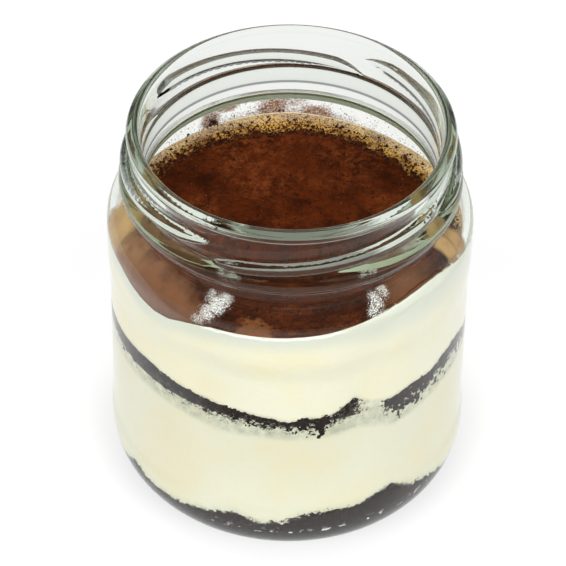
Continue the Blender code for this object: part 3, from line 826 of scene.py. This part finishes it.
def ring_grains():
    draw = random.Random(GRAIN_SEED + 1)
    spots = []
    while len(spots) < RING_GRAINS:
        angle = draw.uniform(-180.0, 180.0)
        bare = bare_ring(angle)
        skipped = SPARSE_SHARE * ease(angle, *SPARSE_FROM) * ease(-angle, *SPARSE_TO)
        if bare < RING_LEAST or draw.random() < skipped:
            continue
        out = draw.betavariate(*RING_SPREAD)
        r = inner_radius(level(TURNS_OF_TOP, angle)) - 0.0002 - bare * RING_REACH * (1 - out)
        size = draw.uniform(*RING_RADIUS) * (1.15 - 0.6 * out)
        spots.append((at_turn(angle, r, covered(r, angle) + 0.3 * size), size))
    while len(spots) < RING_GRAINS + RING_CLODS:
        angle = draw.uniform(-180.0, 180.0)
        bare = bare_ring(angle)
        if bare > 0.0010:
            inward = bare * CLOD_REACH * draw.betavariate(*CLOD_SPREAD)
            r = inner_radius(level(TURNS_OF_TOP, angle)) - inward
            size = CLOD_RADIUS + CLOD_GROWS * draw.random() ** 2
            spots.append((at_turn(angle, r, covered(r, angle) + 0.2 * size), size))
    return spots


def top_grains():
    draw = random.Random(GRAIN_SEED + 2)
    spots = []
    for number in range(TOP_GRAINS):
        angle = draw.uniform(-180.0, 180.0)
        r = TOP_REACH * math.sqrt(draw.uniform(0.0, 1.0))
        size = TOP_RADIUS + TOP_GROWS * draw.random() ** 2
        if r < inner_radius(level(TURNS_OF_TOP, angle)) - bare_ring(angle) - TOP_MARGIN:
            spots.append((at_turn(angle, r, cocoa_top(r, angle) + 0.1 * size), size))
    return spots


def glass_grains():
    draw = random.Random(GRAIN_SEED + 3)
    spots = []
    for number in range(GLASS_GRAINS):
        angle = draw.choice((draw.uniform(*GLASS_TURNS), draw.gauss(*GLASS_THICKEST)))
        z = level(TURNS_OF_TOP, angle) + abs(draw.gauss(0.0, GLASS_CLIMB))
        if z < GLASS_LIMIT:
            size = GLASS_RADIUS + GLASS_GROWS * draw.random() ** 3
            spots.append((at_turn(angle, inner_radius(z) - 0.3 * size, z), size))
    for angle, z, size, count in CLODS_ON_GLASS:
        for number in range(count):
            around, up = draw.gauss(0.0, CLOD_TURN * size), draw.gauss(0.0, 0.9 * size)
            spot = at_turn(angle + around, inner_radius(z) - 0.4 * size, z + up)
            spots.append((spot, size * draw.uniform(0.15, 0.55)))
    return spots


lumps("ring_grains", ring_grains())
lumps("top_grains", top_grains())
lumps("glass_grains", glass_grains())


# The smears: thin films of cream, coffee and powder that the spoon left on the inside of the glass
# above the filling, and patches of white and pink flecks on the shoulder that are a painted highlight,
# the sparkle of the lamps drawn as a film. They touch the glass, so it doesn't mirror there. The
# brownest is on the left. Each smear is its turn and height, half its size in degrees and metres, its
# cover and brownness.
COFFEE_SMEARS = (
    (-77.0, 0.0600, 11.0, 0.0056, 0.95, 0.0), (-64.0, 0.0596, 11.0, 0.0060, 0.90, 0.8),
    (-52.0, 0.0590, 13.0, 0.0062, 0.85, 1.0), (-40.0, 0.0590, 15.0, 0.0056, 0.62, 1.0),
    (67.0, 0.0622, 4.5, 0.0026, 1.00, 0.1), (66.3, 0.0597, 2.2, 0.0018, 1.00, 0.5),
    (72.0, 0.0612, 5.0, 0.0026, 0.70, 0.2), (44.0, 0.0618, 18.0, 0.0036, 0.36, 1.0),
)
# Painted highlights: patches of white and pink flecks on the shoulder that stand for the lamps' sparkle.
PAINTED_SPARKLE_SPOTS = (
    (-29.6, 0.0592, 3.6, 0.0016, 1.00, 0.0), (-27.2, 0.0607, 4.4, 0.0019, 1.00, 0.0),
    (-24.6, 0.0620, 4.6, 0.0016, 0.95, 0.0), (-22.2, 0.0629, 4.2, 0.0013, 0.85, 0.0),
    (-27.5, 0.0628, 2.8, 0.0014, 0.70, 0.0), (34.2, 0.0629, 3.4, 0.0012, 0.90, 0.0),
    (30.6, 0.0622, 3.6, 0.0015, 0.90, 0.0), (28.4, 0.0611, 3.0, 0.0016, 0.85, 0.0),
    (31.2, 0.0604, 3.4, 0.0010, 0.80, 0.0), (36.0, 0.0603, 1.7, 0.0012, 1.30, 0.0),
)
POWDER_SMEARS = (
    (208.5, 0.0574, 5.5, 0.0050, 0.85, 0.3), (203.0, 0.0596, 7.0, 0.0016, 0.80, 0.0),
    (194.0, 0.0605, 12.0, 0.0010, 0.80, 0.0), (186.0, 0.0576, 9.0, 0.0052, 0.85, 0.1),
    (180.0, 0.0596, 8.0, 0.0022, 0.60, 0.0), (172.0, 0.0568, 10.0, 0.0032, 0.85, 0.1),
    (180.0, 0.0564, 36.0, 0.0022, 0.55, 0.2),
)
FILM_TAN, FILM_BROWN = (0.52, 0.325, 0.150, 1.0), (0.205, 0.088, 0.045, 1.0)
POWDER_RED, POWDER_DARK = (0.240, 0.090, 0.026, 1.0), (0.070, 0.022, 0.009, 1.0)
# The colours of the painted highlight flecks.
PAINTED_SPARKLE_WHITE, PAINTED_SPARKLE_PINK = (0.95, 0.93, 0.92, 1.0), (0.80, 0.62, 0.58, 1.0)
FILM_INTO_GLASS, FILM_HEIGHTS, FILM_TURN = 0.00004, (0.0545, 0.0650, 0.00018), 0.5
BLOT_SIZE, BLOT_SHARE, SMEAR_WAVER = 0.0030, 0.20, 0.0022


def smear_at(angle, z, smears):
    """How much the smears cover the glass here, and how brown they are."""
    covers, total, browns = 0.0, 0.0, 0.0
    for turn, height, half_turn, half_height, amount, brown in smears:
        off = math.hypot((angle - turn) / half_turn, (z - height) / half_height)
        here = amount * (1 - ease(off + 0.15 * wall_grain(angle, z, SMEAR_WAVER, 3, turn), 0.30, 1.05))
        covers, total, browns = max(covers, here), total + here, browns + here * brown
    return covers, browns / max(total, 0.001)


def smear_finish(name, thin, thick, grains, ends, weight):
    """A film that hides what is behind where its cover and its grain add up to more than the ends."""
    material, tree, shader = new_finish(name)
    blot = stretch(tree, clouds(tree, BLOT_SIZE, 3.0, 0.6), 0.44, 0.62)
    share = sums(tree, "ADD", mark(tree, "brown"), sums(tree, "MULTIPLY", blot, BLOT_SHARE))
    link_in(tree, shader, "Base Color", blend(tree, share, thin, thick))
    shader.inputs["Roughness"].default_value = 0.7
    shader.inputs["Specular IOR Level"].default_value = 0.1
    cover = sums(tree, "MULTIPLY", mark(tree, "cover"), weight)
    hides = stretch(tree, sums(tree, "ADD", clouds(tree, grains, 3.0, 0.6), cover), *ends)
    hides = sums(tree, "MULTIPLY", hides, stretch(tree, mark(tree, "cover"), 0.0, 0.12))
    link_in(tree, shader, "Alpha", hides)
    return material


def cells(rows, across):
    """The four corners of each cell of a grid of points, with the cell's row and column."""
    for row in range(rows - 1):
        for place in range(across - 1):
            here = row * across + place
            yield (row, place), (here, here + 1, here + across + 1, here + across)


def film(name, smears, material):
    """An open sheet just inside the wall of the glass, only where there is a smear."""
    first = min(turn - half for turn, height, half, *rest in smears) - 1.0
    last = max(turn + half for turn, height, half, *rest in smears) + 1.0
    turns, heights = np.arange(first, last, FILM_TURN), np.arange(*FILM_HEIGHTS)
    found = np.array([[smear_at(angle, z, smears) for angle in turns] for z in heights])
    points = [at_turn(angle, inner_radius(z) + FILM_INTO_GLASS, z) for z in heights for angle in turns]
    faces = [corners for (row, place), corners in cells(len(heights), len(turns))
             if found[row:row + 2, place:place + 2, 0].max() > 0]
    made = add_mesh(name, points, faces, material)
    made.data.shade_smooth()
    set_mark(made, "cover", found[:, :, 0])
    set_mark(made, "brown", found[:, :, 1])
    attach(made, "root")


coffee = smear_finish("coffee_smear", FILM_TAN, FILM_BROWN, 0.0080, (0.40, 1.40), 1.2)
powder = smear_finish("powder_smear", POWDER_RED, POWDER_DARK, 0.00034, (0.62, 1.12), 0.65)
# Painted highlight: the film of white and pink flecks.
painted_sparkles = smear_finish("painted_sparkle_film", PAINTED_SPARKLE_WHITE, PAINTED_SPARKLE_PINK, 0.00016, (0.66, 0.71), 0.20)
film("coffee_smears", COFFEE_SMEARS, coffee)
film("powder_smears", POWDER_SMEARS, powder)
film("painted_sparkle_patches", PAINTED_SPARKLE_SPOTS, painted_sparkles)


# The camera: a long lens that looks down on the jar from the front, as the photograph does. It is
# rolled by about a degree, and it sets the jar a little low and to the right.
VIEW_DOWN, VIEW_ROLL = 43.21, 0.95
VIEW_DISTANCE, VIEW_TARGET = 0.707, Vector((0.0, 0.0, 0.038))
FRAME_PIXELS, FOCAL_PIXELS = 566.0, 3634.2
TARGET_RIGHT, TARGET_DOWN = 5.88, 12.34
SENSOR_MILLIMETRES = 36.0
camera_data = bpy.data.cameras.new("camera")
camera_data.sensor_width = SENSOR_MILLIMETRES
camera_data.lens = SENSOR_MILLIMETRES * FOCAL_PIXELS / FRAME_PIXELS
camera_data.shift_x = -TARGET_RIGHT / FRAME_PIXELS
camera_data.shift_y = TARGET_DOWN / FRAME_PIXELS
camera_data.clip_start = 0.01
camera = bpy.data.objects.new("camera", camera_data)
down = math.radians(VIEW_DOWN)
camera.matrix_world = (
    Matrix.Translation(VIEW_TARGET + VIEW_DISTANCE * Vector((0.0, -math.cos(down), math.sin(down))))
    @ Euler((math.pi / 2 - down, 0.0, 0.0)).to_matrix().to_4x4()
    @ Matrix.Rotation(math.radians(VIEW_ROLL), 4, "Z")
)
bpy.context.scene.collection.objects.link(camera)
bpy.context.scene.camera = camera


# The studio: a white table that glows by itself, its glow dimmed close round the jar's foot as a
# painted contact shadow, and grey in front of the jar, a broad soft lamp on each side of the camera,
# and a tent that is white behind the jar and dark on the camera's side.
FLOOR_HALF, FLOOR_GLOW, FLOOR_GREYS = 1.5, 0.79, (-0.064, -0.046)
FOOT_SHADE, NEAR_SHADE, NEAR_GLOW = (0.0275, 0.0300), (0.0310, 0.0430), 0.80
FLOOR_WHITE, FLOOR_GREY = (0.24, 0.24, 0.24, 1.0), (0.29, 0.28, 0.27, 1.0)
TENT_WHITE, TENT_DARK = (0.96, 0.98, 1.0, 1.0), (0.15, 0.15, 0.15, 1.0)
TENT_DARK_SIDE, TENT_EASE, TENT_LIGHT = (0.0, -0.98, 0.20), (-0.20, 0.35), 0.45
LAMP_TURN, LAMP_UP, LAMP_AWAY, LAMP_SIZE, LAMP_WATTS = 38.0, 41.0, 0.80, 0.50, 6.4
LAMPS_FACE = Vector((0.0, 0.0, 0.045))


def table_finish():
    material, tree, shader = new_finish("white_table")
    split = tree.nodes.new("ShaderNodeSeparateXYZ")
    link_in(tree, split, 0, place(tree))
    white = stretch(tree, split.outputs["Y"], *FLOOR_GREYS)
    link_in(tree, shader, "Base Color", blend(tree, white, FLOOR_GREY, FLOOR_WHITE))
    shader.inputs["Roughness"].default_value = 0.8
    shader.inputs["Emission Color"].default_value = (1.0, 1.0, 1.0, 1.0)
    away = tree.nodes.new("ShaderNodeVectorMath")
    away.operation = "LENGTH"
    link_in(tree, away, 0, place(tree))
    distance = away.outputs["Value"]
    # Painted contact shadow: the glow fades close round the jar's foot.
    near = sums(tree, "MULTIPLY", stretch(tree, distance, *NEAR_SHADE), 1 - NEAR_GLOW)
    glow = sums(tree, "MULTIPLY", stretch(tree, distance, *FOOT_SHADE), sums(tree, "ADD", near, NEAR_GLOW))
    glow = sums(tree, "MULTIPLY", sums(tree, "MULTIPLY", white, glow), FLOOR_GLOW)
    link_in(tree, shader, "Emission Strength", glow)
    return material


def make_floor():
    spread = np.linspace(-FLOOR_HALF, FLOOR_HALF, 9)
    points = [(x, y, 0.0) for y in spread for x in spread]
    faces = [corners for cell, corners in cells(len(spread), len(spread))]
    return add_mesh("table", points, faces, table_finish())


make_floor()

for side, name in ((-1, "left_softbox"), (1, "right_softbox")):
    light = bpy.data.lights.new(name, "AREA")
    light.size = LAMP_SIZE
    light.energy = LAMP_WATTS
    rise = math.radians(LAMP_UP)
    toward_lamp = at_turn(side * LAMP_TURN, LAMP_AWAY * math.cos(rise), LAMP_AWAY * math.sin(rise))
    lamp = bpy.data.objects.new(name, light)
    lamp.location = LAMPS_FACE + toward_lamp
    lamp.rotation_euler = (-toward_lamp).to_track_quat("-Z", "Y").to_euler()
    lamp.visible_glossy = False
    lamp.visible_transmission = False
    bpy.context.scene.collection.objects.link(lamp)

tent = bpy.data.worlds.new("tent")
tent.use_nodes = True
tent_tree = tent.node_tree
sky = tent_tree.nodes["Background"]
toward = tent_tree.nodes.new("ShaderNodeVectorMath")
toward.operation = "DOT_PRODUCT"
toward.inputs[1].default_value = TENT_DARK_SIDE
directions = tent_tree.nodes.new("ShaderNodeTexCoord")
link_in(tent_tree, toward, 0, directions.outputs["Generated"])
opening = stretch(tent_tree, toward.outputs["Value"], *TENT_EASE)
link_in(tent_tree, sky, "Color", blend(tent_tree, opening, TENT_WHITE, TENT_DARK))
sky.inputs["Strength"].default_value = TENT_LIGHT
bpy.context.scene.world = tent
bpy.context.scene.view_settings.view_transform = "Standard"
